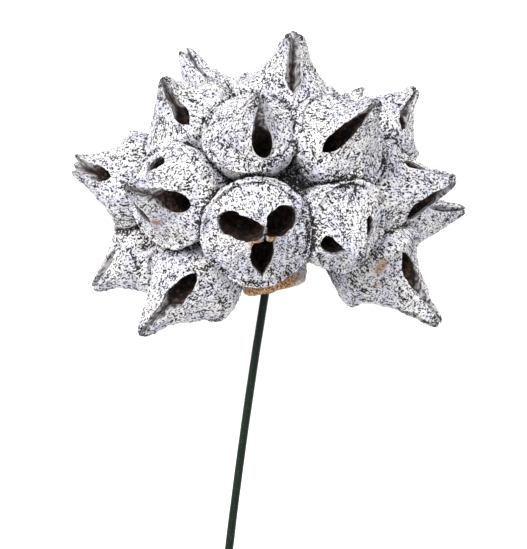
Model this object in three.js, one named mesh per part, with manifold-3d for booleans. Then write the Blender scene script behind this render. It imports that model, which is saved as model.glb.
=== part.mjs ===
// A spider gum pod on a floral wire, lying on a surface.
// The pod is one woody body: gum capsules that grew fused together round a common
// centre. Each capsule is an outward-facing cup with a rim, a domed roof that rises
// into a horn, and three slits where the roof split to let the seed out.
// The wire is pushed into a drilled hole in the underside.
//
// Lengths are in millimetres and angles in degrees. The pod is drawn in its own
// growing frame: x to the right, y up and away from the wire, z to the front.
// At the end the whole object is laid down on its back: two horns and the end of
// the wire touch the surface.

import * as THREE from "three";
import { mergeVertices } from "three/addons/utils/BufferGeometryUtils.js";
import Module from "manifold-3d";

const wasm = await Module();
wasm.setup();

// The capsules. Each has:
//   at, the bearing of its axis round the pod, 0 at the front and 90 to the right, the
//     axis's height above the pod's waist, and the way from the pod's centre to the rim
//   rim, its radius, and how far it sits to the right of the axis and above it
//   horn, the height of its tip above the rim, and how far the tip leans to the
//     capsule's own right and upwards
//   slits, each with the angle where it lies, from the capsule's own right upwards, its
//     greatest width, and the shares of the radius where it opens and where it closes
const FRONT = [
  { at: [-4, -16, 26], rim: [10.4, -0.3, 0.6], horn: [8.5, 2.3, 2.4],
    slits: [[153, 4.9, 0.76, -0.2], [34, 4.6, 0.84, -0.1], [276, 4.8, 0.1, 0.8]] },
  { at: [36, -13, 26], rim: [8.8, -0.4, 0.6], horn: [8.8, -2.2, -4.9],
    slits: [[210, 4, 0.78, 0.28], [43, 2.4, 0.53, 0.22], [315, 0.5]] },
  { at: [-8, 28, 25], rim: [9, -0.36, 0.95], horn: [12, 3.36, 0.45],
    slits: [[301, 4.2, 0.8], [58, 0.5], [175, 0.3]] },
  { at: [22, 67, 22], rim: [10.4, 0.6, 0], horn: [12, -1.2, -1.4],
    slits: [[256, 2.8, 0.66], [10, 0.8], [128, 1]] },
  { at: [38, 26, 25.5], rim: [9.8, 0, 0], horn: [13, -1.4, 0.6],
    slits: [[206, 3.1, 0.78], [92, 0.7], [325, 0.7]] },
  { at: [-40, -3, 26], rim: [9.8, -2, 1.6], horn: [12, 0.3, 2.3],
    slits: [[-14, 3.8, 0.7], [96, 3.4, 0.76, 0.34], [238, 3.2, 0.6]] },
  { at: [-62, 41, 24], rim: [9.8, -0.5, 0], horn: [9, 4.6, 0.6],
    slits: [[-22, 2.8, 0.82], [96, 0.7], [216, 0.8]] },
  { at: [-56, -42, 25], rim: [9.6, 0, 0], horn: [14, 1.3, 0.9],
    slits: [[26, 3.6], [148, 1], [268, 0.8]] },
];
const SIDES = [
  { at: [97, 48, 26], rim: [9, 0, -7.3], horn: [8.8, 0.5, 0],
    slits: [[196, 2.5], [75, 0.8], [315, 0.8]] },
  { at: [75, 3, 25.5], rim: [9.8, 0, 0], horn: [11.5, -1.5, 1.6],
    slits: [[238, 3.8, 0.66], [123, 2.2, 0.64, 0.3], [345, 1]] },
  { at: [113, -5, 28], rim: [10.2, 0, -1.2], horn: [12.8, -2, 2.4],
    slits: [[160, 1.2, 0.6], [40, 2], [280, 1.4]] },
  { at: [76, -43, 26.5], rim: [9.6, 0, 5.5], horn: [14.2, -1.4, 0],
    slits: [[134, 3.4, 0.82, 0.1], [238, 1.8, 0.4], [0, 1]] },
  { at: [-93, 9, 28], rim: [9.8, 0, -1.2], horn: [9.8, 0.4, 1.8],
    slits: [[4, 2.8, 0.66], [124, 1.4], [243, 1.4]] },
  { at: [-103, -27, 28], rim: [9.6, 0, 1.6], horn: [10.4, 1.1, -1.6],
    slits: [[26, 2, 0.62], [160, 2.2], [280, 1.4]] },
  { at: [-127, 54, 22.5], rim: [9.2, 0, 0], horn: [12, 1.5, 1.1],
    slits: [[48, 1], [168, 2.2], [285, 1.2]] },
];
const BACK = [
  { at: [-160, 8, 25.2], rim: [9.6, 0, 0], horn: [11.3, -0.5, 0.6],
    slits: [[20, 3.2], [140, 1.4], [262, 2.4, 0.8, 0.3]] },
  { at: [161, 12, 25.5], rim: [9.6, 0, 0], horn: [11.5, 0.6, 0.3],
    slits: [[70, 1.8], [192, 3.4], [308, 2]] },
  { at: [-178, 50, 23], rim: [9.4, 0, 0], horn: [10, 0.8, 0.4],
    slits: [[95, 2.6], [215, 3], [333, 1.2]] },
  { at: [135, 38, 23.5], rim: [9.4, 0, 0], horn: [9.5, -1.2, 0.4],
    slits: [[40, 1.4], [158, 3], [282, 2.4, 0.7]] },
  { at: [-127, 12, 25.5], rim: [8.8, 0, 0], horn: [11, 0.6, -0.8],
    slits: [[75, 2.8, 0.8], [196, 2.6], [312, 1.2]] },
  { at: [-140, -28, 24.5], rim: [9, 0, 0], horn: [11.5, 1.4, 0.6],
    slits: [[100, 3], [218, 1.4], [340, 2.4, 0.75]] },
  { at: [178, -23, 23.5], rim: [8.4, 0, 0], horn: [8.7, -0.8, -0.4],
    slits: [[85, 3, 0.8], [204, 2.6], [322, 2.6]] },
  { at: [145, -14, 25], rim: [8.6, 0, 0], horn: [11, 0.8, 0],
    slits: [[60, 2.4], [182, 2.8, 0.75], [300, 1.2]] },
];

// One capsule's outline from the root to the tip, in shares of the rim's radius
// across. Below the rim the heights are millimetres, and above it they are shares
// of the horn's height. The slits lie between the roof's first ring and its last.
const WALL = [[0.6, -13], [1.0, -1.6], [0.94, -0.2]];
const ROOF = [
  [0.86, 0.0],
  [0.8, 0.045],
  [0.62, 0.2],
  [0.44, 0.41],
  [0.26, 0.67],
  [0.09, 0.97],
];
const VALVE_COLUMNS = 5; // facets across one valve, from slit to slit
const LEAN_CURVE = 1.5; // the tip leans more than the foot of the horn

// Where a slit opens and closes unless its row says otherwise, in shares of the radius.
const SLIT_OPENS = 0.86;
const SLIT_CLOSES = 0.03;
// A slit's width is its greatest width, times the share of the way along it to the power
// "opening", times the share that is left to the power "closing", times "scale", which
// makes the greatest product 1. Where it is closed a crack is left.
const SLIT_SHAPE = { opening: 0.7, closing: 1.5, scale: 3.96 };
const CRACK_WIDTH = 0.35;

// The seed chamber under each slit, which is wider than the slit.
const CHAMBER_TOP = { out: 0.84, wide: 1.35, up: 0.76, drop: 1.3 };
const CHAMBER_FLOOR = { out: 0.66, wide: 1.1, at: -4.5 };

// The heart of the pod, which fills it between the capsules, and the stub of the stalk,
// cut off askew. Its outline holds shares of its width and millimetres above its end.
const HEART = { across: 18.5, tall: 14.5, front: 18.5 };
const STALK = { across: 6.2, front: 5, end: [1.4, -17.6, 0], lean: 13 };
const STALK_OUTLINE = [[0, 0], [0.72, 0], [1, 1.3], [1, 11], [0, 11]];
const HEART_SIDES = 16;
const HEART_ROWS = 12;
const STALK_SIDES = 12;

// The wire.
const WIRE_RADIUS = 0.8;
const WIRE_LENGTH = 180;
const WIRE_STRAIGHT = 11.5; // from its upper end to where it starts to bend
const WIRE_TURN = new THREE.Vector3(-0.1, -15.5, 0); // where it starts to bend
const WIRE_LEAN = 9.5; // from straight down, to the left, in its straight part
const WIRE_BEND = 9; // how much of that lean it loses along the rest
const WIRE_SIDES = 12;
const WIRE_STEPS = 36;
const WIRE_POINT_EVERY = 6; // along its line
const HOLE_GAP = 0.3;
const HOLE_SIDES = 12;
const HOLE_BELOW = 4; // how far the hole is cut below where the wire starts to bend

// How the object lies: the pod's frame is tipped back, and its centre is moved to
// where the two horns it lies on are worn flat by the surface at z = 0.
const TILT = 9.9;
const POD_CENTRE = new THREE.Vector3(-0.54, 75.28, 32.3);

const RAD = Math.PI / 180;

function solidOf(geometry) {
  const bare = geometry.index ? geometry.toNonIndexed() : geometry.clone();
  bare.deleteAttribute("normal");
  bare.deleteAttribute("uv");
  const merged = mergeVertices(bare, 1e-4);
  return new wasm.Manifold(
    new wasm.Mesh({
      numProp: 3,
      vertProperties: merged.attributes.position.array,
      triVerts: new Uint32Array(merged.index.array),
    }),
  );
}

function geometryOf(solid) {
  const mesh = solid.getMesh();
  const geometry = new THREE.BufferGeometry();
  geometry.setAttribute("position", new THREE.BufferAttribute(new Float32Array(mesh.vertProperties), 3));
  geometry.setIndex(new THREE.BufferAttribute(new Uint32Array(mesh.triVerts), 1));
  geometry.computeVertexNormals();
  return geometry;
}

// A capsule's own frame: its right is x, its axis is y, and its upward side is -z.
function capsuleFrame({ at: [bearing, height, seat], rim: [, across, above] }) {
  const axis = new THREE.Vector3(
    Math.sin(bearing * RAD) * Math.cos(height * RAD),
    Math.sin(height * RAD),
    Math.cos(bearing * RAD) * Math.cos(height * RAD),
  );
  const right = new THREE.Vector3(0, 1, 0).cross(axis).normalize();
  const down = right.clone().cross(axis);
  const middle = axis.clone().multiplyScalar(seat);
  middle.addScaledVector(right, across);
  middle.addScaledVector(down, -above);
  return new THREE.Matrix4().makeBasis(right, axis, down).setPosition(middle);
}

// A point of a capsule in the pod's frame, from its distance out from the capsule's
// axis, its angle round it and its height above the rim. Above the rim it moves
// sideways, so that the horn leans.
function capsulePoint({ horn: [tall, right, above], frame }, out, angle, up) {
  const share = Math.max(0, up / tall) ** LEAN_CURVE;
  return new THREE.Vector3(
    out * Math.cos(angle) + right * share,
    up,
    -out * Math.sin(angle) - above * share,
  ).applyMatrix4(frame);
}

function slitWidth([, widest, opens = SLIT_OPENS, closes = SLIT_CLOSES], share) {
  const { opening, closing, scale } = SLIT_SHAPE;
  const along = THREE.MathUtils.clamp((opens - share) / (opens - closes), 0, 1);
  return Math.max(CRACK_WIDTH, widest * scale * along ** opening * (1 - along) ** closing);
}

// The slits in the order in which they lie round the axis.
function inOrder(slits) {
  const turned = slits.map(([angle, ...rest]) => [THREE.MathUtils.euclideanModulo(angle, 360), ...rest]);
  return turned.sort((a, b) => a[0] - b[0]);
}

// The outline's rings for one capsule: distance out, height, and half of each slit's
// width as an angle. A slit has no width on the roof's first ring and its last.
function outlineRings({ rim: [radius], horn: [tall], slits }) {
  const wall = WALL.map(([out, up]) => ({ out: out * radius, up, halves: slits.map(() => 0) }));
  const roof = ROOF.map(([out, up], i) => {
    const split = i > 0 && i < ROOF.length - 1;
    const halves = slits.map((slit) => (split ? slitWidth(slit, out) / 2 / (out * radius) : 0));
    return { out: out * radius, up: up * tall, halves };
  });
  return [...wall, ...roof];
}

// One closed capsule: three valves that run from the root to the tip, and a seed
// chamber behind each slit between two of them.
function capsuleBody(row) {
  const capsule = { ...row, frame: capsuleFrame(row), slits: inOrder(row.slits) };
  const rings = outlineRings(capsule);
  const corners = [];
  const face = (...points) => {
    for (let i = 2; i < points.length; i++) corners.push(points[0], points[i - 1], points[i]);
  };
  capsule.slits.forEach((slit, k) => {
    valve(capsule, rings, k, face);
    seedChamber(capsule, rings.slice(WALL.length), k, face);
  });
  return solidOf(new THREE.BufferGeometry().setFromPoints(corners));
}

// The valve between slit k and the next one round.
function valve(capsule, rings, k, face) {
  const { slits, horn: [tall] } = capsule;
  const next = (k + 1) % slits.length;
  const from = slits[k][0] * RAD;
  const to = (slits[next][0] + (next === 0 ? 360 : 0)) * RAD;
  const root = capsulePoint(capsule, 0, 0, WALL[0][1]);
  const tip = capsulePoint(capsule, 0, 0, tall);
  const rows = rings.map(({ out, up, halves }) =>
    Array.from({ length: VALVE_COLUMNS + 1 }, (_, i) => {
      const turn = (i / VALVE_COLUMNS) * (to - from - halves[k] - halves[next]);
      return capsulePoint(capsule, out, from + halves[k] + turn, up);
    }));
  const last = rows.at(-1);
  for (let i = 0; i < VALVE_COLUMNS; i++) {
    face(root, rows[0][i + 1], rows[0][i]);
    for (let j = 0; j + 1 < rows.length; j++) {
      face(rows[j][i], rows[j][i + 1], rows[j + 1][i + 1], rows[j + 1][i]);
    }
    face(last[i], last[i + 1], tip);
  }
}

// The chamber's walls and floor, hung from slit k's edge: the edge's loop, a wider
// loop just under the roof, and the floor's loop.
function seedChamber(capsule, rings, k, face) {
  const angle = capsule.slits[k][0] * RAD;
  const loop = (place) => {
    const left = rings.map((ring) => place(ring, ring.halves[k]));
    const right = rings.slice(1, -1).map((ring) => place(ring, -ring.halves[k]));
    return [...left, ...right.reverse()];
  };
  const edge = loop(({ out, up }, half) => capsulePoint(capsule, out, angle + half, up));
  const under = loop(({ out, up }, half) => {
    const { out: inwards, wide, up: lower, drop } = CHAMBER_TOP;
    return capsulePoint(capsule, out * inwards, angle + (half * wide) / inwards, up * lower - drop);
  });
  const floor = loop(({ out }, half) => {
    const { out: inwards, wide, at } = CHAMBER_FLOOR;
    return capsulePoint(capsule, out * inwards, angle + (half * wide) / inwards, at);
  });
  const count = edge.length;
  for (let i = 0; i < count; i++) {
    const next = (i + 1) % count;
    face(edge[i], edge[next], under[next], under[i]);
    face(under[i], under[next], floor[next], floor[i]);
  }
  face(floor[0], floor[1], floor[count - 1]);
  for (let i = 1; i + 1 <= count - i - 1; i++) {
    face(floor[i], floor[i + 1], floor[count - i - 1], floor[count - i]);
  }
}

function heart() {
  const ball = new THREE.SphereGeometry(1, HEART_SIDES, HEART_ROWS);
  ball.scale(HEART.across, HEART.tall, HEART.front);
  const outline = STALK_OUTLINE.map(([out, up]) => new THREE.Vector2(out, up));
  const stalk = new THREE.LatheGeometry(outline, STALK_SIDES);
  stalk.scale(STALK.across, 1, STALK.front);
  stalk.rotateZ(STALK.lean * RAD);
  stalk.translate(...STALK.end);
  return solidOf(ball).add(solidOf(stalk));
}

// The hole runs a little past the wire's end and is open at the bottom.
function wireHole() {
  const above = WIRE_STRAIGHT + HOLE_GAP;
  const radius = WIRE_RADIUS + HOLE_GAP;
  const hole = new THREE.CylinderGeometry(radius, radius, above + HOLE_BELOW, HOLE_SIDES);
  hole.translate(0, (above - HOLE_BELOW) / 2, 0);
  hole.rotateZ(-WIRE_LEAN * RAD);
  hole.translate(WIRE_TURN.x, WIRE_TURN.y, WIRE_TURN.z);
  return solidOf(hole);
}

// The wire's line: straight in the pod, then a slow bend towards straight down.
function wireLine() {
  const wireDown = new THREE.Vector3(-Math.sin(WIRE_LEAN * RAD), -Math.cos(WIRE_LEAN * RAD), 0);
  const at = WIRE_TURN.clone();
  const points = [at.clone().addScaledVector(wireDown, -WIRE_STRAIGHT), at.clone()];
  const bent = WIRE_LENGTH - WIRE_STRAIGHT;
  for (let gone = 0; gone < bent; gone += WIRE_POINT_EVERY) {
    const run = Math.min(WIRE_POINT_EVERY, bent - gone);
    const lean = (WIRE_LEAN - (WIRE_BEND * (gone + run / 2)) / bent) * RAD;
    at.x -= Math.sin(lean) * run;
    at.y -= Math.cos(lean) * run;
    points.push(at.clone());
  }
  return new THREE.CatmullRomCurve3(points, false, "centripetal");
}

function wire() {
  const round = new THREE.Shape();
  round.absarc(0, 0, WIRE_RADIUS, 0, 2 * Math.PI);
  return new THREE.ExtrudeGeometry(round, {
    steps: WIRE_STEPS,
    curveSegments: WIRE_SIDES / 2,
    extrudePath: wireLine(),
  });
}

// The capsules joined to the heart, less the wire's hole and what the surface wore off.
function pod() {
  let body = heart();
  for (const capsule of [...FRONT, ...SIDES, ...BACK]) {
    body = body.add(capsuleBody(capsule));
  }
  const upwards = [0, Math.sin(TILT * RAD), Math.cos(TILT * RAD)];
  return geometryOf(body.subtract(wireHole()).trimByPlane(upwards, -POD_CENTRE.z));
}

const frostedWood = new THREE.MeshStandardMaterial({ color: 0xd2d0d3, roughness: 0.75, metalness: 0 });
const greenLacquer = new THREE.MeshStandardMaterial({ color: 0x27372c, roughness: 0.45, metalness: 0 });

const podMesh = new THREE.Mesh(pod(), frostedWood);
podMesh.name = "gum_pod";
const wireMesh = new THREE.Mesh(wire(), greenLacquer);
wireMesh.name = "wire_stem";

const upright = new THREE.Group();
upright.add(podMesh, wireMesh);
upright.rotation.x = TILT * RAD;
upright.position.copy(POD_CENTRE);

const object = new THREE.Group();
object.add(upright);
export default object;
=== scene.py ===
"""A spider gum pod on a floral wire, lying on a pale surface and seen from above."""

import itertools

import bmesh
import bpy
import numpy as np
from mathutils import Matrix


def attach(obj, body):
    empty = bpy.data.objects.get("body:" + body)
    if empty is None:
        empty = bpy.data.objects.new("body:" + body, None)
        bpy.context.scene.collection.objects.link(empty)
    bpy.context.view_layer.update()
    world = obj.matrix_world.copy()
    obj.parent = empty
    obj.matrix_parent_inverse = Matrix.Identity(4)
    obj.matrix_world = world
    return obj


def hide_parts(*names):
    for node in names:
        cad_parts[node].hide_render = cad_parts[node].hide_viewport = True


# How the object lies. The pod is worked out as it grew, in millimetres, with x to the
# right, y up and away from the wire and z to the front. Then it is tipped back until two
# of its horns and the end of the wire touch the surface.
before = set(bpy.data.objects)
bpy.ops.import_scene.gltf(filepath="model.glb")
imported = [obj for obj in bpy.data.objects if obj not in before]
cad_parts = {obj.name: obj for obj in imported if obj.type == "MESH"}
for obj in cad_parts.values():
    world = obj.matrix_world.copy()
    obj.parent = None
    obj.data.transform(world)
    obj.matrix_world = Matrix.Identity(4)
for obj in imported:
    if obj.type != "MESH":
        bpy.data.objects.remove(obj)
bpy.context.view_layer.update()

TILT = np.radians(9.9)
POD_CENTRE = np.array([-0.54, 75.28, 32.3])
TIPPED = np.array([
    [1, 0, 0],
    [0, np.cos(TILT), -np.sin(TILT)],
    [0, np.sin(TILT), np.cos(TILT)],
])


def lay_down(points):
    """Millimetres on the growing pod to metres in the object's frame: each point is
    turned about the pod's x axis, moved with the pod's centre and kept above z = 0."""
    placed = (points @ TIPPED.T + POD_CENTRE) / 1000
    placed[..., 2] = np.maximum(placed[..., 2], 0)
    return placed


# The camera. The photograph shows the pod upright and level with the lens, so here a
# camera with a long lens hangs in front of the pod's face and looks down on it.
CAMERA_AWAY = 650  # mm from the pod's centre
PHOTO_WIDTH, PHOTO_HEIGHT = 527, 549  # pixels
POD_PIXEL = (268, 198)  # where the pod's centre is in the photograph
PIXELS_PER_MM = 5.25
SENSOR = 36  # mm, along the picture's longer side

eye = lay_down(np.array([0.0, 0, CAMERA_AWAY]))
aim = lay_down(np.array([
    (PHOTO_WIDTH / 2 - POD_PIXEL[0]) / PIXELS_PER_MM,
    (POD_PIXEL[1] - PHOTO_HEIGHT / 2) / PIXELS_PER_MM,
    0,
]))
ahead = (aim - eye) / np.linalg.norm(aim - eye)
rightwards = np.cross(ahead, TIPPED[:, 1])
rightwards /= np.linalg.norm(rightwards)

lens = bpy.data.cameras.new("camera")
lens.sensor_width = SENSOR
lens.lens = SENSOR * CAMERA_AWAY * PIXELS_PER_MM / PHOTO_HEIGHT
lens.clip_start = 0.01  # metres
camera = bpy.data.objects.new("camera", lens)
pose = np.eye(4)
pose[:3, :3] = np.stack([rightwards, np.cross(rightwards, ahead), -ahead], axis=1)
pose[:3, 3] = eye
camera.matrix_world = Matrix(pose.tolist())
bpy.context.scene.collection.objects.link(camera)
bpy.context.scene.camera = camera

# The capsules are the pod's fruits, of hard brown wood. They grew packed round one
# centre and fused into a ball. Each is a cup with a round rim under a roof that rises to
# a horn, and the roof has split along three slits, from the rim to the tip.
# Each row holds, in degrees and millimetres:
#   at, the bearing of its axis, 0 at the front and 90 to the right, the axis's height
#     above the pod's waist, and the way from the pod's centre to the rim
#   rim, its radius, and how far it sits to the right of the axis and above it
#   horn, the height of its tip, and how far that leans to its own right and upwards
#   jaw, how far the tips of its three valves stand apart
#   solid, the share of the radius within which the horn is solid, where that isn't
#     SOLID_HORN: there a slit is only a groove, and farther out it opens a seed chamber
#   slits, each with its angle, from the capsule's own right upwards, its greatest width,
#     and the shares of the radius where it opens and where it closes
CAPSULES = [
    dict(at=(-4, -16, 26), rim=(10.4, -0.3, 0.6), horn=(8.5, 2.3, 2.4), jaw=0.5, solid=0.12,
         slits=[(153, 4.9, 0.76, -0.2), (34, 4.6, 0.84, -0.1), (276, 4.8, 0.1, 0.8)]),
    dict(at=(36, -13, 26), rim=(8.8, -0.4, 0.6), horn=(8.8, -2.2, -4.9), jaw=0.2, solid=0.1,
         slits=[(210, 4, 0.78, 0.28), (43, 2.4, 0.53, 0.22), (315, 0.5)]),
    dict(at=(-8, 28, 25), rim=(9, -0.36, 0.95), horn=(12, 3.36, 0.45), jaw=0.3, solid=0.48,
         slits=[(301, 4.2, 0.8), (58, 0.5), (175, 0.3)]),
    dict(at=(22, 67, 22), rim=(10.4, 0.6, 0), horn=(12, -1.2, -1.4), jaw=0.9, solid=0.72,
         slits=[(256, 2.8, 0.66), (10, 0.8), (128, 1)]),
    dict(at=(38, 26, 25.5), rim=(9.8, 0, 0), horn=(13, -1.4, 0.6), jaw=0.4, solid=0.24,
         slits=[(206, 3.1, 0.78), (92, 0.7), (325, 0.7)]),
    dict(at=(-40, -3, 26), rim=(9.8, -2, 1.6), horn=(12, 0.3, 2.3), jaw=0.4,
         slits=[(-14, 3.8, 0.7), (96, 3.4, 0.76, 0.34), (238, 3.2, 0.6)]),
    dict(at=(-62, 41, 24), rim=(9.8, -0.5, 0), horn=(9, 4.6, 0.6), jaw=0.5, solid=0.5,
         slits=[(-22, 2.8, 0.82), (96, 0.7), (216, 0.8)]),
    dict(at=(-56, -42, 25), rim=(9.6, 0, 0), horn=(14, 1.3, 0.9), jaw=0.4,
         slits=[(26, 3.6), (148, 1), (268, 0.8)]),
    dict(at=(97, 48, 26), rim=(9, 0, -7.3), horn=(8.8, 0.5, 0), jaw=0.3, solid=0.5,
         slits=[(196, 2.5), (75, 0.8), (315, 0.8)]),
    dict(at=(75, 3, 25.5), rim=(9.8, 0, 0), horn=(11.5, -1.5, 1.6), jaw=0.4, solid=0.24,
         slits=[(238, 3.8, 0.66), (123, 2.2, 0.64, 0.3), (345, 1)]),
    dict(at=(113, -5, 28), rim=(10.2, 0, -1.2), horn=(12.8, -2, 2.4), jaw=0.2, solid=0.7,
         slits=[(160, 1.2, 0.6), (40, 2), (280, 1.4)]),
    dict(at=(76, -43, 26.5), rim=(9.6, 0, 5.5), horn=(14.2, -1.4, 0), jaw=0.4,
         slits=[(134, 3.4, 0.82, 0.1), (238, 1.8, 0.4), (0, 1)]),
    dict(at=(-93, 9, 28), rim=(9.8, 0, -1.2), horn=(9.8, 0.4, 1.8), jaw=1.6, solid=0.36,
         slits=[(4, 2.8, 0.66), (124, 1.4), (243, 1.4)]),
    dict(at=(-103, -27, 28), rim=(9.6, 0, 1.6), horn=(10.4, 1.1, -1.6), jaw=0.4, solid=0.7,
         slits=[(26, 2, 0.62), (160, 2.2), (280, 1.4)]),
    dict(at=(-127, 54, 22.5), rim=(9.2, 0, 0), horn=(12, 1.5, 1.1), jaw=0.7, solid=0.7,
         slits=[(48, 1), (168, 2.2), (285, 1.2)]),
    dict(at=(-160, 8, 25.2), rim=(9.6, 0, 0), horn=(11.3, -0.5, 0.6), jaw=0.3,
         slits=[(20, 3.2), (140, 1.4), (262, 2.4, 0.8, 0.3)]),
    dict(at=(161, 12, 25.5), rim=(9.6, 0, 0), horn=(11.5, 0.6, 0.3), jaw=0.3,
         slits=[(70, 1.8), (192, 3.4), (308, 2)]),
    dict(at=(-178, 50, 23), rim=(9.4, 0, 0), horn=(10, 0.8, 0.4), jaw=0.6,
         slits=[(95, 2.6), (215, 3), (333, 1.2)]),
    dict(at=(135, 38, 23.5), rim=(9.4, 0, 0), horn=(9.5, -1.2, 0.4), jaw=0.8,
         slits=[(40, 1.4), (158, 3), (282, 2.4, 0.7)]),
    dict(at=(-127, 12, 25.5), rim=(8.8, 0, 0), horn=(11, 0.6, -0.8), jaw=0.4,
         slits=[(75, 2.8, 0.8), (196, 2.6), (312, 1.2)]),
    dict(at=(-140, -28, 24.5), rim=(9, 0, 0), horn=(11.5, 1.4, 0.6), jaw=0.5,
         slits=[(100, 3), (218, 1.4), (340, 2.4, 0.75)]),
    dict(at=(178, -23, 23.5), rim=(8.4, 0, 0), horn=(8.7, -0.8, -0.4), jaw=0.5,
         slits=[(85, 3, 0.8), (204, 2.6), (322, 2.6)]),
    dict(at=(145, -14, 25), rim=(8.6, 0, 0), horn=(11, 0.8, 0), jaw=0.4,
         slits=[(60, 2.4), (182, 2.8, 0.75), (300, 1.2)]),
]

# A capsule's outline, from the middle of its hidden root to the tip: the share of the
# rim's radius, the height above the rim in millimetres and in shares of the horn, and
# the number of rings from the row before.
OUTLINE = np.array([
    (0.00, -13.0, 0.00, 0),
    (0.60, -13.0, 0.00, 1),
    (0.88, -6.0, 0.00, 5),
    (0.98, -3.2, 0.00, 6),
    (1.00, -1.6, 0.00, 6),
    (0.995, -0.7, 0.00, 4),
    (0.96, -0.05, 0.00, 4),
    (0.915, -0.35, 0.00, 3),
    (0.86, 0.0, 0.00, 3),
    (0.80, 0.0, 0.045, 4),
    (0.62, 0.0, 0.20, 10),
    (0.44, 0.0, 0.41, 11),
    (0.26, 0.0, 0.67, 13),
    (0.09, 0.0, 0.95, 13),
    (0.00, 0.0, 1.00, 3),
])
SLIT_OPENS, SLIT_CLOSES = 0.86, 0.03  # shares of the radius, where a row gives none
OPENING, CLOSING, SLIT_SCALE = 0.7, 1.5, 3.96  # a slit's two powers, and its scale
FIRST_SLIT_RING = int(OUTLINE[:9, 3].sum())
CRACK_WIDTH = 0.1  # left of a slit where it is closed
SOLID_HORN = 0.42  # share of the radius, where a row gives none
LEAN_CURVE = 1.5
VALVE_COLUMNS, BACK_COLUMNS = 60, 36  # across one valve, in front and at the back
BACK_BEARING = 125  # degrees from the front, either way


def outline(radius, horn):
    """Distance out and height of each ring: a smooth curve through the outline's rows,
    where each step runs from one to the next with the slope of the rows beside it."""
    knots = np.stack([OUTLINE[:, 0] * radius, OUTLINE[:, 1] + OUTLINE[:, 2] * horn], axis=1)
    slopes = np.gradient(knots, axis=0)
    pieces = [knots[:1]]
    for i, steps in enumerate(OUTLINE[1:, 3].astype(int)):
        t = (np.arange(1, steps + 1) / steps)[:, None]
        pieces.append(
            knots[i] * (2 * t**3 - 3 * t**2 + 1)
            + slopes[i] * (t**3 - 2 * t**2 + t)
            + knots[i + 1] * (3 * t**2 - 2 * t**3)
            + slopes[i + 1] * (t**3 - t**2)
        )
    line = np.concatenate(pieces)
    line[-1, 0] = 0
    return line


def ease(low, high, value):
    """0 up to low, 1 from high, and between them 3t^2 - 2t^3 of the share t covered."""
    t = np.clip((value - low) / (high - low), 0, 1)
    return t * t * (3 - 2 * t)


SCATTER = np.array([73856093, 19349663, 83492791])  # large primes, one for each axis
SEED_STEP = 2654435761


def lumps(points, size, seed):
    """Random relief from -1 to 1: a random number at each corner of a cubic lattice of
    that size, blended between the corners by the ease curve along each axis. A corner's
    number is its place and the seed, with their bits mixed."""
    spot = points / size
    cell = np.floor(spot).astype(np.int64)
    part = spot - cell
    part = part * part * (3 - 2 * part)
    total = np.zeros(points.shape[:-1])
    for corner in itertools.product((0, 1), repeat=3):
        weight = np.prod(np.where(np.array(corner) == 1, part, 1 - part), axis=-1)
        key = (cell + np.array(corner)) @ SCATTER + seed * SEED_STEP
        key = (key ^ (key >> 15)) * 2246822519 & 0xFFFFFFFF
        key = (key ^ (key >> 13)) * 3266489917 & 0xFFFFFFFF
        total += weight * ((key ^ (key >> 16)) / 0x7FFFFFFF - 1)
    return total


def slit_row(angle, widest, opens=SLIT_OPENS, closes=SLIT_CLOSES):
    """A slit from its row: the angle in radians, the width and where it opens and closes."""
    return np.radians(angle % 360), widest, opens, closes


class Capsule:
    """One row of the list above with the directions of its own frame."""

    def __init__(self, number, row):
        bearing, height = np.radians(row["at"][:2])
        self.number = number
        self.radius, across, above = row["rim"]
        self.horn, *self.lean = row["horn"]
        self.jaw = row["jaw"]
        self.solid = row.get("solid", SOLID_HORN)
        self.columns = BACK_COLUMNS if abs(row["at"][0]) > BACK_BEARING else VALVE_COLUMNS
        self.axis = np.array([
            np.sin(bearing) * np.cos(height), np.sin(height), np.cos(bearing) * np.cos(height),
        ])
        self.right = np.cross([0, 1, 0], self.axis)
        self.right /= np.linalg.norm(self.right)
        self.rise = np.cross(self.axis, self.right)
        self.rim = row["at"][2] * self.axis + across * self.right + above * self.rise
        self.line = outline(self.radius, self.horn)
        self.slits = sorted(slit_row(*slit) for slit in row["slits"])

    def around(self, angle):
        """The direction away from the axis at that angle."""
        return np.cos(angle)[..., None] * self.right + np.sin(angle)[..., None] * self.rise

    def place(self, out, angle, up):
        """A point from its distance out, its angle and its height. Above the rim it also
        moves with the leaning horn, by the lean times a power of its share of the height."""
        share = np.maximum(0, up / self.horn) ** LEAN_CURVE
        tip = self.lean[0] * self.right + self.lean[1] * self.rise
        along = up[..., None] * self.axis + share[..., None] * tip
        return self.rim + out[..., None] * self.around(angle) + along

    def half_width(self, slit):
        """Half of a slit's width on each ring: a power of the share t of the way along it,
        times a power of what is left, scaled to the greatest width. It has none on the
        first ring of the slits, and a crack is left where it is closed."""
        _, widest, opens, closes = slit
        share = self.line[:, 0] / self.radius
        t = np.clip((opens - share) / (opens - closes), 0, 1)
        open_width = SLIT_SCALE * widest * t**OPENING * (1 - t) ** CLOSING
        crack = CRACK_WIDTH * ease(SLIT_OPENS, SLIT_OPENS - 0.05, share) * ease(0, 0.08, share)
        return np.maximum(open_width, crack) / 2


# The parts of the weathered surface: their heights and then their sizes, in millimetres,
# and where the groove inside the rim lies, in shares of the radius.
BROAD, MIDDLE, FINE, FIBRE, GROWTH, PIT, GROOVE = 0.45, 0.2, 0.14, 0.14, 0.14, 0.25, 0.2
BROAD_SIZE, MIDDLE_SIZE, FINE_SIZE, PIT_SIZE = 4.6, 1.7, 0.8, 0.7
FIBRE_WIDTH, FIBRE_LENGTH, GROWTH_WIDTH = 0.6, 2, 6
RIM_GROOVE, RIM_GROOVE_WIDTH = 0.915, 0.022


def way_up(out, up):
    """How far up its roof a place lies: its height less 0.7 of its distance out."""
    return up - 0.7 * out


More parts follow.
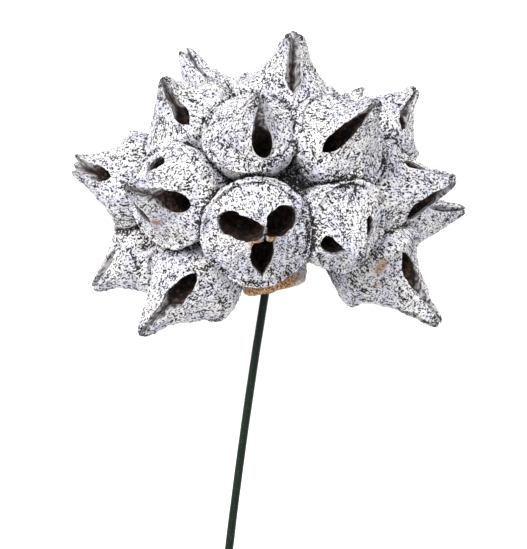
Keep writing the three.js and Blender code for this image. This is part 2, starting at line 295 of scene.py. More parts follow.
def relief(capsule, points, out, angle, up):
    """The weathered surface: its height over the smooth form, from broad lumps, two finer
    grains, fibres that run up the horn, rings of growth, sunken pits and a groove just
    inside the rim, and how low a place lies in them, from 0 to 1, which is where a spray
    doesn't reach. The broken tip counts as low too. The middle of a tip stays calm, so
    that it keeps its form."""
    seed = 40 * capsule.number
    ring = capsule.radius * np.stack([np.cos(angle), np.sin(angle)], axis=-1)
    along = np.broadcast_to(way_up(out, up), angle.shape)[..., None]
    share = out / capsule.radius
    strands = np.concatenate([ring / FIBRE_WIDTH, along / FIBRE_LENGTH], axis=-1)
    fibres = lumps(strands, 1, seed + 5)
    growth = lumps(np.concatenate([ring / GROWTH_WIDTH, along], axis=-1), 1, seed + 6)
    growth = growth * ease(0.35, 0.6, share) * (up > -2.5)
    middle = lumps(points, MIDDLE_SIZE, 4)
    fine = lumps(points, FINE_SIZE, 7)
    pits = ease(0.2, 0.75, lumps(points, PIT_SIZE, 11))
    groove = np.exp(-(((share - RIM_GROOVE) / RIM_GROOVE_WIDTH) ** 2)) * ease(-1.5, -0.6, up)
    height = (
        BROAD * lumps(points, BROAD_SIZE, 3) + MIDDLE * middle + FINE * fine
        + FIBRE * fibres + GROWTH * growth - PIT * pits - GROOVE * groove
    )
    low = (
        0.7 * pits - 0.2 * fine - 0.35 * fibres - 0.3 * growth
        + (0.35 + 0.8 * middle) * groove + 0.8 * ease(0.84, 1, up / capsule.horn)
    )
    return height * (0.25 + 0.75 * ease(0.2, 2.4, out)), np.clip(low, 0, 1)


SHADE_STARTS, SHADE_ENDS = 2.5, 8  # mm below the rim, where the darkening starts and where it is full: painted shade in the valleys, with the spray thinning and ending
SHADE = 0.65  # how far depth alone darkens a place: painted shade, and missed spray
CREASE_WIDTH = 0.55  # mm
GAP_SLOPES = 0.85  # a crease's width, as a share of its width square to the axis
NEIGHBOURS = 34  # mm between the middles of two rims, and farther ones don't touch
ROOT_ENDS = -12  # mm above the rim


def spray_gap_and_shade(capsule, points, up):
    """How dark a place is made, 0 to 1, partly where the spray missed and partly painted
    shade: more with depth below the rim, and more in the crease where a neighbour's side
    or roof comes within a millimetre."""
    depth = -np.broadcast_to(up, points.shape[:-1])
    # Painted shade below the rim, which also stands for thinning spray.
    unsprayed_and_shaded = SHADE * ease(SHADE_STARTS, SHADE_ENDS, depth)
    for other in capsules:
        if other is capsule or np.linalg.norm(other.rim - capsule.rim) > NEIGHBOURS:
            continue
        away = points - other.rim
        height = away @ other.axis
        out = np.linalg.norm(away - height[..., None] * other.axis, axis=-1)
        gap = GAP_SLOPES * (out - np.interp(height, other.line[:, 1], other.line[:, 0]))
        near = np.exp(-((np.maximum(gap, 0) / CREASE_WIDTH) ** 2))
        beside = (height > ROOT_ENDS) * ease(1, 0.7, height / other.horn)
        # Painted shade in the crease beside a neighbour, where the spray also misses.
        unsprayed_and_shaded = np.maximum(unsprayed_and_shaded, near * beside)
    return unsprayed_and_shaded


# A chamber's wall bends at the top of the chamber and at its floor: the share of the lip's
# way out, how much wider than the lip, and the height as a share of the lip's and in mm.
WALL_COLUMNS, WALL_BUNCHED = 9, 1.6  # the columns are closer together at the lip
TOP_OUT, TOP_WIDE, TOP_UP, TOP_DROP = 0.84, 1.6, 0.76, 1.3
FLOOR_OUT, FLOOR_WIDE, FLOOR_AT = 0.66, 1.7, -4.5
GROOVE_DEPTH = 1  # mm, where the slit is closed
JAW_DEEPENS, WIDTH_DEEPENS = 0.6, 0.8  # mm for each mm of the jaw, and of half the width
GROOVE_INWARDS = 0.5  # mm for each mm down
NEAR_AXIS = 0.3  # mm out, and nearer to the axis a lip turns no farther
SOLID_FADE = 0.15  # of the radius, either way, from chamber to groove


def chamber_wall(capsule, lip, slit, side, half):
    """The wall of the seed chamber below one lip of a slit: on each ring a Bezier curve
    from the lip, out under the roof and down to the middle of the chamber's floor. Up
    the horn, which is solid, it turns into one side of a groove a few millimetres deep.
    With it comes its distance from the lip, tripled in the chamber, which the material
    turns dark sooner: painted shade in the hollow, and less spray."""
    out, up = capsule.line[FIRST_SLIT_RING:].T
    turn = side * half[FIRST_SLIT_RING:] / np.maximum(out, NEAR_AXIS)
    share = ((np.arange(WALL_COLUMNS + 1) / WALL_COLUMNS) ** WALL_BUNCHED)[:, None]
    under = capsule.place(TOP_OUT * out, slit + TOP_WIDE * turn, TOP_UP * up - TOP_DROP)
    floor = np.full_like(up, FLOOR_AT)
    edge = capsule.place(FLOOR_OUT * out, slit + FLOOR_WIDE * turn, floor)
    middle = capsule.place(FLOOR_OUT * out, np.full_like(up, slit), floor)
    hollow = (
        (1 - share) ** 3 * lip[:, None]
        + 3 * share * (1 - share) ** 2 * under[:, None]
        + 3 * share**2 * (1 - share) * edge[:, None]
        + share**3 * middle[:, None]
    )
    deep = GROOVE_DEPTH + JAW_DEEPENS * capsule.jaw + WIDTH_DEEPENS * half[FIRST_SLIT_RING:]
    inwards = np.maximum(out - GROOVE_INWARDS * deep, 0)
    bottom = capsule.place(inwards, np.full_like(up, slit), up - deep)
    groove = lip[:, None] + (bottom - lip)[:, None] * share
    outer, inner = capsule.solid + SOLID_FADE, capsule.solid - SOLID_FADE
    solid = ease(outer, inner, out / capsule.radius)[:, None]
    wall = (1 - solid[..., None]) * hollow + solid[..., None] * groove
    depth = np.linalg.norm(wall - lip[:, None], axis=-1) * (3 - 2 * solid)
    return wall, depth


BUNCHED, EVEN = 0.55, 0.45  # shares of the columns' spread, closer at the lips and even
LIP_WIDTH, LIP_HEIGHT = 0.45, 0.25  # mm
RAGGED, RAGGED_SIZE = 0.2, 1.3  # how far a lip strays, in shares of its half width, and mm


def valve(capsule, first, second):
    """The part of a capsule between two slits: its grid of points, the angle of each, and
    how low each lies in the relief. The columns run from lip to lip, closer together
    beside the lips, which are ragged and stand a little proud."""
    out, up = capsule.line[:, :1], capsule.line[:, 1:]
    halves = [capsule.half_width(slit)[:, None] for slit in (first, second)]
    start, end = first[0], second[0]
    x = np.linspace(0, 1, capsule.columns + 1)
    across = BUNCHED * (0.5 - 0.5 * np.cos(np.pi * x)) + EVEN * x
    turns = [half / np.maximum(out, NEAR_AXIS) for half in halves]
    angle = start + turns[0] + across * (end - start - turns[0] - turns[1])
    for edge, half, fade in ((start, halves[0], 1 - across), (end, halves[1], -across)):
        below = capsule.place(0.8 * out, np.full(out.shape, edge), 0.8 * up)
        ragged = lumps(below, RAGGED_SIZE, 9)
        angle = angle + RAGGED * half * ragged / np.maximum(out, 1) * fade
    points = capsule.place(out, angle, up)
    apart = capsule.jaw * ease(0.35, 1, up / capsule.horn) ** 1.5
    points += apart[..., None] * capsule.around(np.array((start + end) / 2))

    slope = np.gradient(capsule.line, axis=0)
    slope /= np.linalg.norm(slope, axis=1, keepdims=True)
    outwards = (
        slope[:, 1][:, None, None] * capsule.around(angle)
        - slope[:, 0][:, None, None] * capsule.axis
    )
    arc = (end - start - turns[0] - turns[1]) * out
    lips = sum(
        np.exp(-((distance * arc / LIP_WIDTH) ** 2)) * ease(0.1, 0.6, half)
        for distance, half in ((across, halves[0]), (1 - across, halves[1]))
    ) * ease(0.4, 2, out)
    height, low = relief(capsule, points, out, angle, up)
    points += (height * (1 - 0.5 * lips) + LIP_HEIGHT * lips)[..., None] * outwards
    return points, angle, low * (1 - lips), halves


# Where bare or stained wood shows: the capsule's number from 0, and the spot's angle,
# distance out, height, reach and strength.
BARE_SPOTS = [
    (0, 235, 1.6, 7.2, 1.7, 1.6),
    (0, 330, 1.2, 7.4, 1.5, 1.6),
    (1, 340, 4.0, 5.0, 1.6, 0.8),
    (2, 200, 3.0, 6.0, 1.6, 0.5),
    (4, 300, 1.6, 9.5, 1.8, 0.5),
    (5, 262, 5.0, 3.6, 3.0, 0.8),
    (7, 60, 7.5, 1.5, 1.8, 0.5),
    (11, 200, 8.0, 1.5, 4.0, 0.55),
    (11, 172, 9.0, 0.0, 2.2, 1.1),
    (13, 20, 5.0, 4.0, 2.0, 0.5),
]


def worn(capsule, angle, out, up):
    """Bare wood, 0 to 1, in the spots listed for a capsule: each is a round patch on the
    rim's circle and the outline, with its strength in the middle."""
    bare = np.zeros(angle.shape)
    for number, spot_angle, spot_out, spot_up, reach, strength in BARE_SPOTS:
        if number == capsule.number:
            side = np.hypot(
                out * np.cos(angle) - spot_out * np.cos(np.radians(spot_angle)),
                out * np.sin(angle) - spot_out * np.sin(np.radians(spot_angle)),
            )
            away = np.hypot(side, up - spot_up) / reach
            bare = np.maximum(bare, strength * np.exp(-(away**2)))
    return bare


JOINED, NO_LENGTH = 2e-7, 1e-8  # metres: closer points are joined, and shorter edges go


def add_piece(name, points, faces, values, material):
    """A closed piece of the object from its points and quads. Points that coincide are
    joined, which closes the seams and poles, and each value becomes an attribute."""
    mesh = bpy.data.meshes.new(name)
    mesh.from_pydata(points.tolist(), [], faces.tolist())
    for key, value in values.items():
        kind, field = ("FLOAT", "value") if value.ndim == 1 else ("FLOAT_VECTOR", "vector")
        layer = mesh.attributes.new(key, kind, "POINT")
        layer.data.foreach_set(field, value.astype(np.float32).ravel())
    shape = bmesh.new()
    shape.from_mesh(mesh)
    bmesh.ops.remove_doubles(shape, verts=shape.verts, dist=JOINED)
    bmesh.ops.dissolve_degenerate(shape, edges=shape.edges, dist=NO_LENGTH)
    shape.to_mesh(mesh)
    shape.free()
    mesh.polygons.foreach_set("use_smooth", np.ones(len(mesh.polygons), bool))
    mesh.materials.append(material)
    piece = bpy.data.objects.new(name, mesh)
    bpy.context.scene.collection.objects.link(piece)
    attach(piece, "root")
    return piece


def grid_faces(rows, columns, first):
    """Corner numbers of the quads of a grid whose points are numbered from first."""
    corner = np.arange(rows * columns).reshape(rows, columns) + first
    quads = [corner[:-1, :-1], corner[:-1, 1:], corner[1:, 1:], corner[1:, :-1]]
    return np.stack(quads, axis=-1).reshape(-1, 4)


def colour(code):
    """A linear colour from a hex sRGB value."""
    channels = np.array([int(code[i : i + 2], 16) for i in (1, 3, 5)]) / 255
    linear = np.where(channels <= 0.04045, channels / 12.92, ((channels + 0.055) / 1.055) ** 2.4)
    return (*linear, 1.0)


def add(tree, kind, inputs=(), output=0, **settings):
    """Adds a node with its settings. The inputs are pairs of a socket's name or number
    and a value or another node's output. Returns one of its own outputs, if any."""
    node = tree.nodes.new(kind)
    for key, value in settings.items():
        setattr(node, key, value)
    for key, value in inputs:
        if isinstance(value, bpy.types.NodeSocket):
            tree.links.new(value, node.inputs[key])
        else:
            node.inputs[key].default_value = value
    return node.outputs[output] if node.outputs else None


def frosted_gum_wood():
    """Rough dry gum wood under a thin matt frosting, sprayed on from outside.

    The paint is white with a touch of lavender. It misses the pits and the creases
    between the capsules, where the bark looks nearly black, and it only dusts the first
    millimetres of the slits, whose walls are dark brown with fibres along them. The dark
    in the creases and deep below the rims is partly painted shade, and so is the near
    black deep in the seed chambers."""
    material = bpy.data.materials.new("frosted gum wood")
    material.use_nodes = True
    tree = material.node_tree
    tree.nodes.clear()
    place = add(tree, "ShaderNodeTexCoord", output="Object")
    grain = add(tree, "ShaderNodeAttribute", attribute_name="grain", output="Vector")
    low = add(tree, "ShaderNodeAttribute", attribute_name="low", output="Fac")
    # Painted shade and missed spray: darkens the creases and the depths below the rims.
    unsprayed_and_shaded = add(tree, "ShaderNodeAttribute", attribute_name="spray_gap_and_shade", output="Fac")
    depth = add(tree, "ShaderNodeAttribute", attribute_name="depth", output="Fac")
    bare = add(tree, "ShaderNodeAttribute", attribute_name="bare", output="Fac")

    # Patterns: patches 5 mm wide, mottling of 1.1 mm, grit and fibres of 0.35 mm, round
    # pits 0.65 mm apart, and cracks between the fibres, 0.6 mm apart and three times as
    # long. The real grit is finer and is drawn as coarse as it needs to show.
    patches = add(
        tree, "ShaderNodeTexNoise", [("Vector", place), ("Scale", 200.0), ("Detail", 2.0)],
    )
    mottle = add(
        tree, "ShaderNodeTexNoise", [("Vector", place), ("Scale", 900.0), ("Detail", 2.0)],
    )
    grit = add(
        tree, "ShaderNodeTexNoise",
        [("Vector", place), ("Scale", 2800.0), ("Detail", 1.5), ("Roughness", 0.6)],
    )
    fibres = add(
        tree, "ShaderNodeTexNoise",
        [("Vector", grain), ("Scale", 2.9), ("Detail", 2.0), ("Roughness", 0.6)],
    )
    pits = add(tree, "ShaderNodeTexVoronoi", [("Vector", place), ("Scale", 1550.0)])
    cracks = add(tree, "ShaderNodeTexVoronoi", [("Vector", grain), ("Scale", 1.6)])

    # What the spray missed, 0 to 1, and painted shade: grit, pits, cracks and hollows are
    # missed paint, and the creases and the depths below the rims are partly missed paint and
    # partly painted shade. The mottling makes the pits and cracks large in one place and
    # closes them in another.
    level = grit
    for share, weight in ((low, 0.17), (unsprayed_and_shaded, 0.2), (mottle, 0.13)):
        level = add(
            tree, "ShaderNodeMath", [(0, share), (1, weight), (2, level)],
            operation="MULTIPLY_ADD",
        )
    unpainted_and_shade = add(
        tree, "ShaderNodeMapRange",
        [("Value", level), ("From Min", 0.645), ("From Max", 0.69)],
        interpolation_type="SMOOTHSTEP",
    )
    for marks, size in ((pits, 0.8), (cracks, 0.9)):
        spread = add(
            tree, "ShaderNodeMath", [(0, level), (1, -size), (2, marks)],
            operation="MULTIPLY_ADD",
        )
        mark = add(
            tree, "ShaderNodeMapRange",
            [
                ("Value", spread), ("From Min", -0.242), ("From Max", -0.2),
                ("To Min", 1.0), ("To Max", 0.0),
            ],
            interpolation_type="SMOOTHSTEP",
        )
        unpainted_and_shade = add(tree, "ShaderNodeMath", [(0, unpainted_and_shade), (1, mark)], operation="MAXIMUM")

    tint = add(
        tree, "ShaderNodeMapRange", [("Value", patches), ("From Min", 0.4), ("From Max", 0.62)],
    )
    paint = add(
        tree, "ShaderNodeMix",
        [(0, tint), (6, colour("#F0EEEE")), (7, colour("#DADAE8"))], 2, data_type="RGBA",
    )
    # A grey film where the paint thins, and painted shade in the creases and depths.
    thin_paint_and_shade = add(
        tree, "ShaderNodeMapRange",
        [("Value", level), ("From Min", 0.5), ("From Max", 0.63), ("To Max", 0.3)],
    )
    paint = add(
        tree, "ShaderNodeMix",
        [(0, thin_paint_and_shade), (6, paint), (7, colour("#8F8B91"))], 2, data_type="RGBA",
    )
    bark = add(
        tree, "ShaderNodeMix",
        [(0, mottle), (6, colour("#0A0809")), (7, colour("#322E2D"))], 2, data_type="RGBA",
    )
    outside = add(
        # The near-black bark shows where the paint is missed, and as painted shade in creases.
        tree, "ShaderNodeMix", [(0, unpainted_and_shade), (6, paint), (7, bark)], 2, data_type="RGBA",
    )

    # Bare wood, pale and brown crumb by crumb, with an edge that the mottling frays.
    crumbs = add(
        tree, "ShaderNodeMapRange", [("Value", grit), ("From Min", 0.42), ("From Max", 0.6)],
    )
    tan = add(
        tree, "ShaderNodeMix",
        [(0, crumbs), (6, colour("#6E3A17")), (7, colour("#E2B98A"))], 2, data_type="RGBA",
    )
    worn_share = add(
        tree, "ShaderNodeMath", [(0, mottle), (1, 1.2), (2, bare)], operation="MULTIPLY_ADD",
    )
    worn_share = add(
        tree, "ShaderNodeMapRange",
        [("Value", worn_share), ("From Min", 0.95), ("From Max", 1.85)],
        interpolation_type="SMOOTHSTEP",
    )
    outside = add(
        tree, "ShaderNodeMix", [(0, worn_share), (6, outside), (7, tan)], 2, data_type="RGBA",
    )

    # The slits' walls: dusted grey for a millimetre or two, then bare and ribbed, from near
    # black to brown, which is partly the wood's own colour and partly painted shade.
    contrast = add(
        tree, "ShaderNodeMapRange", [("Value", fibres), ("From Min", 0.42), ("From Max", 0.6)],
    )
    ribs = add(
        tree, "ShaderNodeMath", [(0, fibres), (1, 0.9), (2, mottle)], operation="MULTIPLY_ADD",
    )
    ribs = add(
        tree, "ShaderNodeMapRange", [("Value", ribs), ("From Min", 0.93), ("From Max", 1.16)],
    )
    # Painted shade in part: the near black of this lining stands for the dark in the chambers.
    lining_and_shade = add(
        tree, "ShaderNodeMix",
        [(0, ribs), (6, colour("#060404")), (7, colour("#5F4438"))], 2, data_type="RGBA",
    )
    dusted = add(
        tree, "ShaderNodeMix",
        [(0, contrast), (6, colour("#4A4648")), (7, colour("#D0CDCF"))], 2, data_type="RGBA",
    )
    reach = add(
        tree, "ShaderNodeMath", [(0, mottle), (1, 2.4), (2, depth)], operation="MULTIPLY_ADD",
    )
    deep = add(
        tree, "ShaderNodeMapRange",
        [("Value", reach), ("From Min", 2.5), ("From Max", 4.5)],
        interpolation_type="SMOOTHSTEP",
    )
    wall = add(tree, "ShaderNodeMix", [(0, deep), (6, dusted), (7, lining_and_shade)], 2, data_type="RGBA")
    within = add(
        tree, "ShaderNodeMapRange", [("Value", depth), ("From Min", 0.1), ("From Max", 0.35)],
    )
    wood = add(tree, "ShaderNodeMix", [(0, within), (6, outside), (7, wall)], 2, data_type="RGBA")

    # Bumps of 0.2 mm: fibres and grit stand up, and what the paint missed lies low.
    height = add(
        tree, "ShaderNodeMath", [(0, fibres), (1, 0.6), (2, grit)], operation="MULTIPLY_ADD",
    )
    height = add(
        tree, "ShaderNodeMath", [(0, unpainted_and_shade), (1, -0.35), (2, height)],
        operation="MULTIPLY_ADD",
    )
    bump = add(
        tree, "ShaderNodeBump",
        [("Strength", 0.9), ("Distance", 0.00022), ("Height", height)],
    )
    shader = add(
        tree, "ShaderNodeBsdfPrincipled",
        [("Base Color", wood), ("Normal", bump), ("Roughness", 0.75), ("IOR", 1.45)],
    )
    add(tree, "ShaderNodeOutputMaterial", [("Surface", shader)])
    return material


GRAIN_ALONG, WALL_GRAIN_ALONG = 0.32, 0.2  # under 1, so that the pattern runs long
GRAIN_DOWN = 0.4  # how fast the pattern moves on, down a wall


def capsule_piece(capsule, material):
    """One capsule as a closed surface: three valves side by side, with the walls of the
    seed chambers between them. The wood's grain is laid out by a place's point on the
    rim's circle and by the way up the roof."""
    grids, faces = [], []
    values = {key: [] for key in ("depth", "bare", "spray_gap_and_shade", "grain", "low")}

    def keep(grid, angle, depth, low, rings):
        """Takes in one grid, its faces and the values that the material reads."""
        rows, columns = angle.shape
        faces.append(grid_faces(rows, columns, sum(len(part) for part in grids)))
        grids.append(grid.reshape(-1, 3))
        out, up = capsule.line[rings, :1], capsule.line[rings, 1:]
        ring = np.stack([np.cos(angle), np.sin(angle)], axis=-1) * capsule.radius
        ring[..., 0] += GRAIN_DOWN * depth
        shorter = np.where(depth > 0, WALL_GRAIN_ALONG, GRAIN_ALONG)
        along = (way_up(out, up) * shorter)[..., None]
        values["grain"].append(np.concatenate([ring, along], axis=-1).reshape(-1, 3))
        values["depth"].append(depth.ravel())
        # Painted shade and missed spray in the creases and valleys, for the material.
        values["spray_gap_and_shade"].append(spray_gap_and_shade(capsule, grid, up).ravel())
        values["bare"].append(worn(capsule, angle, out, up).ravel())
        values["low"].append(low.ravel())

    following = [*capsule.slits[1:], (capsule.slits[0][0] + 2 * np.pi, *capsule.slits[0][1:])]
    for first, second in zip(capsule.slits, following):
        points, angle, low, halves = valve(capsule, first, second)
        closed = slice(0, FIRST_SLIT_RING + 1)
        opened = slice(FIRST_SLIT_RING, None)
        keep(points[closed], angle[closed], np.zeros(angle[closed].shape), low[closed], closed)
        before, deep = chamber_wall(capsule, points[opened, 0], first[0], 1, halves[0][:, 0])
        after, deeper = chamber_wall(capsule, points[opened, -1], second[0], -1, halves[1][:, 0])
        wide = np.concatenate([before[:, :0:-1], points[opened], after[:, 1:]], axis=1)
        outside = np.zeros(angle[opened].shape)
        depth = np.concatenate([deep[:, :0:-1], outside, deeper[:, 1:]], axis=1)
        last = capsule.columns
        columns = np.clip(np.arange(-WALL_COLUMNS, last + WALL_COLUMNS + 1), 0, last)
        keep(wide, angle[opened][:, columns], depth, low[opened][:, columns], opened)

    piece = add_piece(
        f"capsule_{capsule.number + 1:02d}",
        lay_down(np.concatenate(grids)),
        np.concatenate(faces),
        {key: np.concatenate(value) for key, value in values.items()},
        material,
    )
    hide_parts("gum_pod")


gum_wood = frosted_gum_wood()
capsules = [Capsule(number, row) for number, row in enumerate(CAPSULES)]
for capsule in capsules:
    capsule_piece(capsule, gum_wood)

# The heart of the pod is the woody knob that the capsules grew from. Below, it ends in the
# stub of the twig that bore the pod, cut off askew, bare of paint and drilled for the wire.
HEART = (18.5, 18.5, 14.5)  # half its width, depth and height
HEART_ENDS = -13.4  # the height where the stub begins
STUB = (6.2, 5.0, -17.6, 1.4)  # half its width and depth, and the height and x of its end
STUB_FLARE = (0.3, 0.3, 4, -0.6)  # how much more of each there is at its root
STUB_SLOPE = np.tan(np.radians(13))
STUB_CORNER = (1.7, 1.3)  # how far its worn edge goes inwards and upwards
STUB_LEANS = (-11, -15)  # the heights from and to which its rings take on the cut's slope
STUB_BARE = (-13.5, -16)  # the heights from and to which its paint ends
STUB_DUSTED = (3, 6)  # x, from and to which half of the paint stays on
STUB_SHADED = (-14.5, -11)  # the heights from and to which the stub darkens towards the pod: painted shade under it
HOLE_RADIUS, HOLE_TOP = 1.1, -3.9
WIRE_TURN = np.array([-0.1, -15.5, 0])  # above this point the wire and its hole are straight
WIRE_LEAN = np.radians(9.5)
HOLE_DEPTH = 4.0  # mm given to the hole's wall, which makes it bare and dark: bare wood and painted shade
HEART_COLUMNS = 120


def stub_rings():
    """The rings from the knob's top to the hole's top as rows of half width, half depth,
    height and the x of the middle, and the part that each is in: 0 the knob, 1 the stub's
    side, 2 its cut face and 3 the hole."""
    fall = np.linspace(0, np.arccos(HEART_ENDS / HEART[2]), 60)[:, None]
    turned = np.hstack([np.sin(fall), np.sin(fall), np.cos(fall)]) * HEART
    knob = np.hstack([turned, 0 * fall])
    low, mouth, top = (
        [HOLE_RADIUS, HOLE_RADIUS, y, WIRE_TURN[0] + (y - WIRE_TURN[1]) * np.tan(WIRE_LEAN)]
        for y in (STUB[2], STUB[2] + 0.2, HOLE_TOP)
    )
    end = np.array(STUB)
    inwards, upwards = STUB_CORNER
    turn = np.linspace(0, np.pi / 2, 12)[1:, None]
    narrower = inwards * (np.cos(turn) - 1)
    corner = end + np.hstack([narrower, narrower, upwards * (1 - np.sin(turn)), 0 * turn])
    side = np.linspace(end + STUB_FLARE, end + [0, 0, upwards, 0], 12)
    parts = [
        knob,
        np.vstack([side, corner]),
        np.linspace(corner[-1], low, 24)[1:],
        np.vstack([np.linspace(mouth, top, 14), [0, 0, *top[2:]]]),
    ]
    return np.concatenate(parts), np.repeat(range(4), [len(part) for part in parts])


def heart_and_stub():
    """The rings as ellipses round their middles. Towards the stub's end they lean with
    its cut, by the slope times the distance from its middle. The bark is roughened
    outwards and the cut face up and down."""
    rings, part = stub_rings()
    angle = np.linspace(0, 2 * np.pi, HEART_COLUMNS + 1)[None, :]
    across, front, height, middle = (rings[:, i : i + 1] for i in range(4))
    x = middle + across * np.cos(angle)
    y = height + STUB_SLOPE * (x - STUB[3]) * ease(*STUB_LEANS, height)
    points = np.stack(np.broadcast_arrays(x, y, front * np.sin(angle)), axis=-1)
    cut = (part == 2)[:, None] * ease(HOLE_RADIUS, 2.2, across)
    bark = (part < 2)[:, None] * ease(0, 5, across)

    # Fibres and waves on the cut face, and lumps and grain on the bark, all in millimetres.
    torn = 0.16 * lumps(points * [1, 0.2, 1], 0.9, 23) + 0.25 * lumps(points, 3.5, 24)
    rough = 0.5 * lumps(points, 3, 21) + 0.22 * lumps(points, 1, 22)
    outwards = np.stack([np.cos(angle), 0 * angle, np.sin(angle)], axis=-1)
    points += (rough * bark)[..., None] * outwards
    points[..., 1] += torn * cut
    flat = np.zeros(points.shape[:2])
    values = {
        # Painted shade in the hole: its wall takes the dark lining.
        "depth": flat + HOLE_DEPTH * (part == 3)[:, None],
        "bare": flat + 1.6 * ease(*STUB_BARE, height) * (1 - 0.5 * ease(*STUB_DUSTED, x)),
        # Painted shade: the stub darkens up towards the pod that hangs over it.
        "spray_gap_and_shade": flat + (part < 2)[:, None] * ease(*STUB_SHADED, height),
        "low": flat,
    }
    values = {key: value.ravel() for key, value in values.items()}
    values["grain"] = (points * [1, 0.4, 1]).reshape(-1, 3)
    faces = grid_faces(*points.shape[:2], 0)[:, ::-1]
    return add_piece("heart_and_stub", lay_down(points.reshape(-1, 3)), faces, values, gum_wood)


heart = heart_and_stub()
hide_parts("gum_pod")

# The wire is a floral stub wire of soft steel in dark green lacquer, 1.6 mm thick. It is
# pushed into the hole, and pliers cut it plain at the other end, where the steel shows.
WIRE_RADIUS = 0.8
WIRE_LENGTH = 180
WIRE_STRAIGHT = 11.5  # from its upper end to the point where it starts to bend
WIRE_BEND = np.radians(9)
WIRE_RINGS, WIRE_COLUMNS = 420, 32
SWELLING, SWELLING_SIZE = 0.018, 0.9  # mm, and four times as long along the wire
CAP_SHARES = np.array([0.97, 0.85, 0.4, 0.0])  # of the radius, on a cut end
CAP_PROUD = np.array([0.05, 0.1, 0.1, 0.1])  # mm
CAP_RINGS = 3  # of bare steel, from the middle
STREAK_LENGTH = 12  # mm to one unit of the streaks' pattern


def lacquered_wire():
    """A tube round a line that runs straight in the pod and then turns slowly downwards:
    its lean falls evenly with the length, and its points are the sums of the steps. The
    radius swells and thins where the lacquer ran, and each end is a cut, slightly proud."""
    gone = np.linspace(-WIRE_STRAIGHT, WIRE_LENGTH - WIRE_STRAIGHT, WIRE_RINGS)
    middles = (gone[1:] + gone[:-1]) / 2
    lean = WIRE_LEAN - WIRE_BEND * np.maximum(middles, 0) / (WIRE_LENGTH - WIRE_STRAIGHT)
    steps = np.stack([-np.sin(lean), -np.cos(lean), 0 * lean], axis=1) * np.diff(gone)[:, None]
    line = np.concatenate([np.zeros((1, 3)), np.cumsum(steps, axis=0)])
    inner = np.array([np.sin(WIRE_LEAN), np.cos(WIRE_LEAN), 0]) * WIRE_STRAIGHT
    line += WIRE_TURN + inner
    ahead = np.gradient(line, axis=0)
    ahead /= np.linalg.norm(ahead, axis=1, keepdims=True)
    forwards = np.array([0, 0, 1])
    sideways = np.cross(ahead, forwards)
    angle = np.linspace(0, 2 * np.pi, WIRE_COLUMNS + 1)
    ring = np.cos(angle)[:, None] * sideways[:, None] + np.sin(angle)[:, None] * forwards
    points = line[:, None] + WIRE_RADIUS * ring
    run = lumps(points * [1, 0.25, 1], SWELLING_SIZE, 31)
    points += SWELLING * run[..., None] * ring

    caps = []
    for row, direction in ((0, -1), (-1, 1)):
        flat = line[row] + CAP_SHARES[:, None, None] * (points[row] - line[row])
        cap = flat + direction * CAP_PROUD[:, None, None] * ahead[row]
        caps.append(cap[::direction])
    points = np.concatenate([caps[0], points, caps[1]])
    cut = np.zeros(points.shape[:2])
    cut[:CAP_RINGS] = 1
    cut[-CAP_RINGS:] = 1
    along = np.arange(len(points))[:, None] * (WIRE_LENGTH / WIRE_RINGS) / STREAK_LENGTH
    around = np.stack(np.broadcast_arrays(np.cos(angle), np.sin(angle), along), axis=-1)
    values = {"cut": cut.ravel(), "along": around.reshape(-1, 3)}
    faces = grid_faces(*points.shape[:2], 0)
    return add_piece("floral_wire", lay_down(points.reshape(-1, 3)), faces, values, green_lacquer())


def green_lacquer():
    """Green lacquer, dipped thin over drawn steel: nearly black green with a soft gloss,
    weaker than most lacquers have, faint streaks along the wire, and bare grey steel on
    the cut ends."""
    material = bpy.data.materials.new("green lacquer on steel")
    material.use_nodes = True
    tree = material.node_tree
    tree.nodes.clear()
    around = add(tree, "ShaderNodeAttribute", attribute_name="along", output="Vector")
    cut = add(tree, "ShaderNodeAttribute", attribute_name="cut", output="Fac")
    place = add(tree, "ShaderNodeTexCoord", output="Object")
    # Streaks 0.3 mm apart and some 4 mm long, and specks of 0.3 mm.
    streaks = add(
        tree, "ShaderNodeTexNoise", [("Vector", around), ("Scale", 3.0), ("Detail", 3.0)],
    )
    specks = add(
        tree, "ShaderNodeTexNoise", [("Vector", place), ("Scale", 3300.0), ("Detail", 2.0)],
    )
    green = add(
        tree, "ShaderNodeMix",
        [(0, streaks), (6, colour("#040A05")), (7, colour("#14261A"))], 2, data_type="RGBA",
    )
    scuff = add(
        tree, "ShaderNodeMapRange", [("Value", specks), ("From Min", 0.62), ("From Max", 0.75)],
    )
    for share, finish in ((scuff, "#4C5A4E"), (cut, "#9A9A98")):
        green = add(
            tree, "ShaderNodeMix",
            [(0, share), (6, green), (7, colour(finish))], 2, data_type="RGBA",
        )
    gloss = add(
        tree, "ShaderNodeMapRange",
        [
            ("Value", streaks), ("From Min", 0.3), ("From Max", 0.7),
            ("To Min", 0.3), ("To Max", 0.5),
        ],
    )
    bump = add(
        tree, "ShaderNodeBump",
        [("Strength", 0.4), ("Distance", 0.00005), ("Height", specks)],
    )
    shader = add(
        tree, "ShaderNodeBsdfPrincipled",
        [
            ("Base Color", green), ("Metallic", cut), ("Roughness", gloss), ("IOR", 1.3),
            ("Normal", bump),
        ],
    )
    add(tree, "ShaderNodeOutputMaterial", [("Surface", shader)])
    return material


wire = lacquered_wire()
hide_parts("wire_stem")

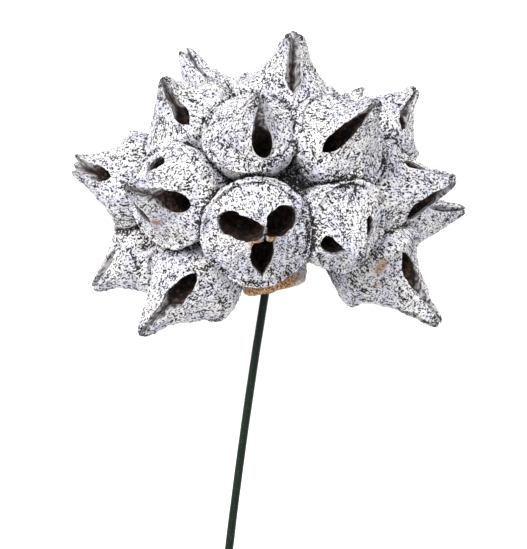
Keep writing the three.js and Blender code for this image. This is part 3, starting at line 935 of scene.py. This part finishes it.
# The table and the light. The photograph has a plain white ground with no shadow and soft
# light from the upper left, so the table is a pale card that glows, like a light table.
TABLE_REACH = 3.0  # metres from the middle to each edge
table_mesh = bpy.data.meshes.new("light_table")
corners = np.array([(-1, -1, 0), (1, -1, 0), (1, 1, 0), (-1, 1, 0)]) * TABLE_REACH
table_mesh.from_pydata(corners.tolist(), [], [(0, 1, 2, 3)])
table = bpy.data.objects.new("light_table", table_mesh)
bpy.context.scene.collection.objects.link(table)
card = bpy.data.materials.new("glowing white card")
card.use_nodes = True
card_shader = card.node_tree.nodes["Principled BSDF"]
card_shader.inputs["Base Color"].default_value = colour("#C8C8C8")
card_shader.inputs["Roughness"].default_value = 0.9
card_shader.inputs["Emission Color"].default_value = (1, 1, 1, 1)
card_shader.inputs["Emission Strength"].default_value = 0.75
table_mesh.materials.append(card)

room = bpy.data.worlds.new("bright room")
bpy.context.scene.world = room
room.use_nodes = True
room.node_tree.nodes["Background"].inputs["Color"].default_value = (1, 1, 1, 1)
room.node_tree.nodes["Background"].inputs["Strength"].default_value = 0.8

# One large soft lamp, placed as seen in the photograph: to the left, above and in front.
LIGHT_FROM = np.array([-0.45, 0.75, 1.0])
LIGHT_AWAY, LIGHT_SIZE = 1.2, 0.7  # metres from the pod, and the side of its square
LIGHT_POWER = 16  # watts
towards = TIPPED @ (LIGHT_FROM / np.linalg.norm(LIGHT_FROM))
side = np.cross([0.0, 1.0, 0.0], towards)
side /= np.linalg.norm(side)
pose = np.eye(4)
pose[:3, :3] = np.stack([side, np.cross(towards, side), towards], axis=1)
pose[:3, 3] = POD_CENTRE / 1000 + towards * LIGHT_AWAY
shine = bpy.data.lights.new("window", "AREA")
shine.size = LIGHT_SIZE
shine.energy = LIGHT_POWER
lamp = bpy.data.objects.new("window", shine)
lamp.matrix_world = Matrix(pose.tolist())
bpy.context.scene.collection.objects.link(lamp)

bpy.context.scene.view_settings.view_transform = "Standard"

bpy.context.view_layer.update()
